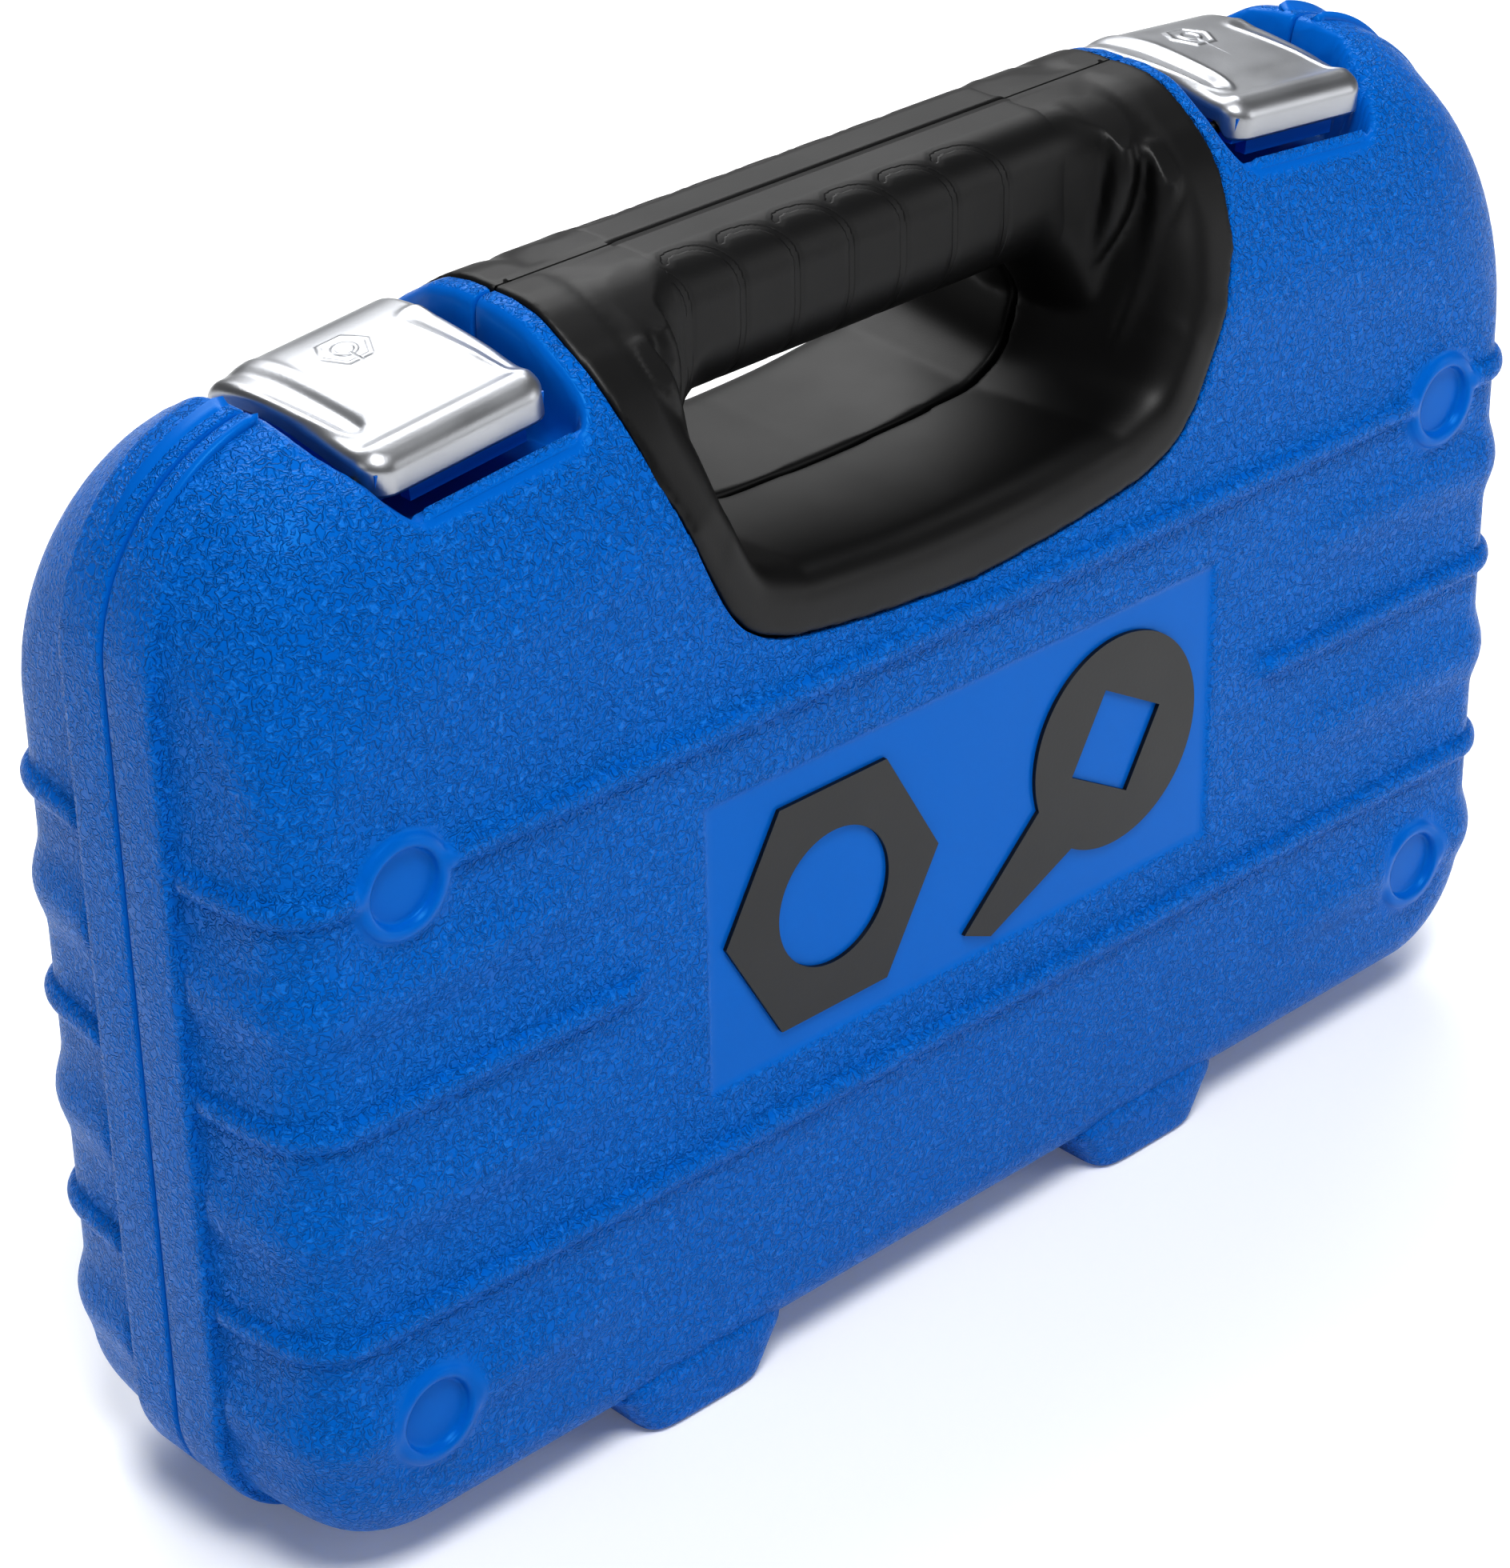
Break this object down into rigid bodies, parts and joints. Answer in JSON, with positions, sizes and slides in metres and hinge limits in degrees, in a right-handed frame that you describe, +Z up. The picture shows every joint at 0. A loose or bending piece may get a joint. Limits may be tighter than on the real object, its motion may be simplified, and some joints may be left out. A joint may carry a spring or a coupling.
{
  "type": "tool case",
  "caption": "Moulded tool case with a hinged lid, two steel latches and a two-piece grip, holding a ratchet, sockets and extension bars in a tray.",
  "frame": {"origin": "centre of the closed case's footprint, on the ground under its feet", "axes": "+Z up, X along the case's width, Y through its depth with the lid towards -Y"},
  "size_m": [0.362, 0.0906, 0.2445],
  "materials": {
    "blue_shell": "grained",
    "blue_latch": "smooth",
    "black_grip": "fine satin",
    "black_tray": "fine grained",
    "black_inlay": "smooth",
    "satin_steel": "tumbled satin",
    "steel_pin": "drawn",
    "chrome_steel": "polished",
    "dark_steel": "satin",
    "tool_sleeve": "matt"
  },
  "bodies": {
    "base": {"base_shell": "blue_shell", "base_grip": "black_grip", "tool_tray": "black_tray", "hinge_pins": "steel_pin", "latch_pivot_pins": "steel_pin", "ratchet_body": "chrome_steel", "ratchet_cover_plate": "chrome_steel", "ratchet_grip": "tool_sleeve", "extension_long": "chrome_steel", "extension_short": "chrome_steel", "step_down_adaptor": "chrome_steel", "plug_socket_1": "chrome_steel", "plug_socket_2": "chrome_steel", "socket_01": "chrome_steel", "socket_02": "chrome_steel", "socket_03": "chrome_steel", "socket_04": "chrome_steel", "socket_05": "chrome_steel", "socket_06": "chrome_steel", "socket_07": "chrome_steel", "socket_08": "chrome_steel", "socket_09": "chrome_steel", "socket_10": "chrome_steel", "socket_11": "chrome_steel", "socket_12": "chrome_steel", "socket_13": "chrome_steel", "socket_14": "chrome_steel", "socket_15": "chrome_steel", "socket_16": "chrome_steel", "socket_17": "chrome_steel"},
    "lid": {"lid_shell": "blue_shell", "lid_grip": "black_grip", "lid_liner": "black_tray", "emblem_nut": "black_inlay", "emblem_ratchet": "black_inlay"},
    "left_latch": {"latch_cover_left": "satin_steel", "latch_body_left": "blue_latch", "latch_rod_left": "steel_pin"},
    "right_latch": {"latch_cover_right": "satin_steel", "latch_body_right": "blue_latch", "latch_rod_right": "steel_pin"},
    "ratchet_drive": {"ratchet_drive": "chrome_steel"},
    "ratchet_selector": {"ratchet_selector": "dark_steel"},
    "ratchet_button": {"ratchet_release_button": "dark_steel"}
  },
  "joints": [
    {"name": "lid_hinge", "type": "hinge", "parent": "base", "child": "lid", "pos_m": [0, 0, 0.0048], "axis": [1, 0, 0], "range_deg": [0, 170]},
    {"name": "left_latch_pivot", "type": "hinge", "parent": "base", "child": "left_latch", "pos_m": [-0.11573, 0.017, 0.22656], "axis": [-0.9956, 0, -0.0941], "range_deg": [0, 110]},
    {"name": "right_latch_pivot", "type": "hinge", "parent": "base", "child": "right_latch", "pos_m": [0.11573, 0.017, 0.22656], "axis": [-0.9956, 0, 0.0941], "range_deg": [0, 110]},
    {"name": "drive_turn", "type": "hinge", "parent": "base", "child": "ratchet_drive", "pos_m": [-0.138, 0.0185, 0.141], "axis": [0, 1, 0], "continuous": true},
    {"name": "selector_turn", "type": "hinge", "parent": "base", "child": "ratchet_selector", "pos_m": [-0.138, 0.0185, 0.141], "axis": [0, -1, 0], "range_deg": [0, 50]},
    {"name": "release_press", "type": "slide", "parent": "base", "child": "ratchet_button", "axis": [0, 1, 0], "range_m": [0, 0.0015], "stiffness_N_per_m": 400}
  ]
}
